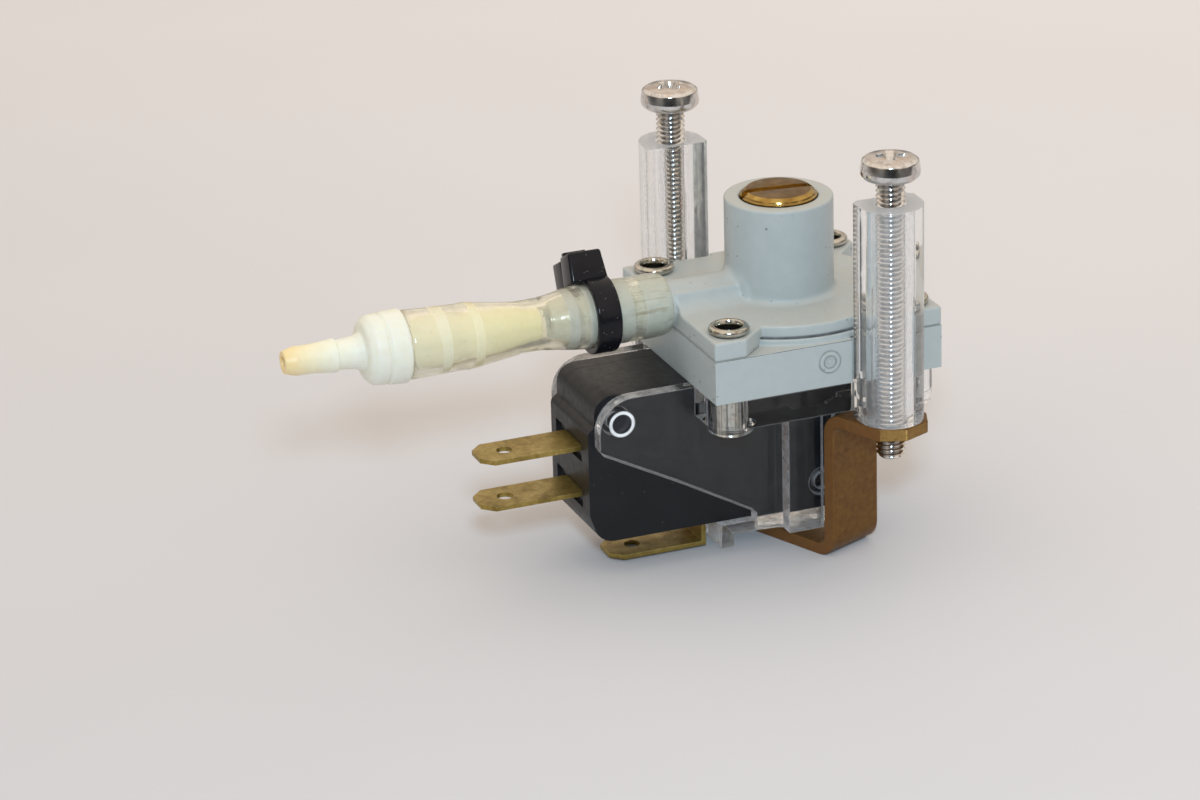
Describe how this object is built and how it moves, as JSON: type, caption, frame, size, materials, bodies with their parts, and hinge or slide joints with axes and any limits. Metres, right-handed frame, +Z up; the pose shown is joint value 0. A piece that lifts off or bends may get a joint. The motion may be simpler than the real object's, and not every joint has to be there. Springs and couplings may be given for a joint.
{
  "type": "pressure switch",
  "caption": "Square diaphragm switch with a slotted adjuster in a tower, a hose port, a lever-free snap microswitch below and two clear panel pillars.",
  "frame": {"origin": "on the tower axis, at the underside of the grey lower body, which is also the middle of the four corner eyelets", "axes": "+Z up the adjuster tower, the hose port points to -X, the front panel pillar stands on the -Y side"},
  "size_m": [0.0647, 0.0344, 0.0443],
  "materials": {
    "grey_plastic": "satin moulded",
    "black_rubber": "matte",
    "bright_metal": "smooth",
    "ivory_plastic": "satin moulded",
    "spring_steel": "drawn wire",
    "golden_brass": "machined, dark in the slot",
    "clear_plastic": "clear moulded plastic",
    "nickel_plate": "plated, slightly worn",
    "brown_bronze": "brown patina, satin",
    "dark_plastic": "satin moulded",
    "red_plastic": "satin",
    "copper_alloy": "rolled strip",
    "dull_brass": "tarnished",
    "clear_hose": "soft, slightly yellowed",
    "black_nylon": "glossy moulded"
  },
  "bodies": {
    "housing": {"upper_cover": "grey_plastic", "lower_body": "grey_plastic", "diaphragm": "black_rubber", "clear_bracket": "clear_plastic", "corner_eyelets": "nickel_plate", "retaining_strap": "brown_bronze", "switch_case": "dark_plastic", "switch_case_cover": "dark_plastic", "closed_contact": "bright_metal", "open_contact": "bright_metal", "common_terminal": "dull_brass", "closed_terminal": "dull_brass", "open_terminal": "dull_brass", "inlet_hose": "clear_hose", "hose_tie": "black_nylon", "inlet_reducer": "ivory_plastic"},
    "diaphragm_stack": {"diaphragm_plate": "bright_metal", "pusher_button": "ivory_plastic"},
    "plunger": {"switch_plunger": "red_plastic"},
    "contact_arm": {"contact_blade": "copper_alloy", "moving_contact": "bright_metal", "snap_spring": "spring_steel"},
    "spring_seat": {"upper_spring_seat": "golden_brass", "range_spring": "spring_steel"},
    "adjuster": {"adjusting_screw": "golden_brass", "adjuster_o_ring": "black_rubber"},
    "front_screw": {"front_panel_screw": "nickel_plate"},
    "rear_screw": {"rear_panel_screw": "nickel_plate"}
  },
  "joints": [
    {"name": "diaphragm_travel", "type": "slide", "parent": "housing", "child": "diaphragm_stack", "axis": [0, 0, 1], "range_m": [0, 0.0012], "deforming": ["diaphragm", "range_spring"]},
    {"name": "plunger_travel", "type": "slide", "parent": "housing", "child": "plunger", "axis": [0, 0, 1], "range_m": [0, 0.0012]},
    {"name": "contact_swing", "type": "hinge", "parent": "housing", "child": "contact_arm", "pos_m": [0.002, 0, -0.0087], "axis": [0, 1, 0], "range_deg": [0, 2.4]},
    {"name": "adjuster_feed", "type": "slide", "parent": "housing", "child": "spring_seat", "axis": [0, 0, 1], "range_m": [-0.0022, 0.0007]},
    {"name": "adjuster_turn", "type": "hinge", "parent": "spring_seat", "child": "adjuster", "pos_m": [0, 0, 0.014], "axis": [0, 0, 1], "range_deg": [-1080, 360]},
    {"name": "front_screw_feed", "type": "slide", "parent": "housing", "child": "front_screw", "axis": [0, 0, 1], "range_m": [-0.0026, 0.002]},
    {"name": "rear_screw_feed", "type": "slide", "parent": "housing", "child": "rear_screw", "axis": [0, 0, 1], "range_m": [-0.0035, 0.001]}
  ],
  "couplings": [
    {"joint": "plunger_travel", "follows": "diaphragm_travel", "ratio": 1},
    {"joint": "contact_swing", "follows": "diaphragm_travel", "rad_per_m": 34.8},
    {"joint": "adjuster_turn", "follows": "adjuster_feed", "rad_per_m": 8378}
  ]
}
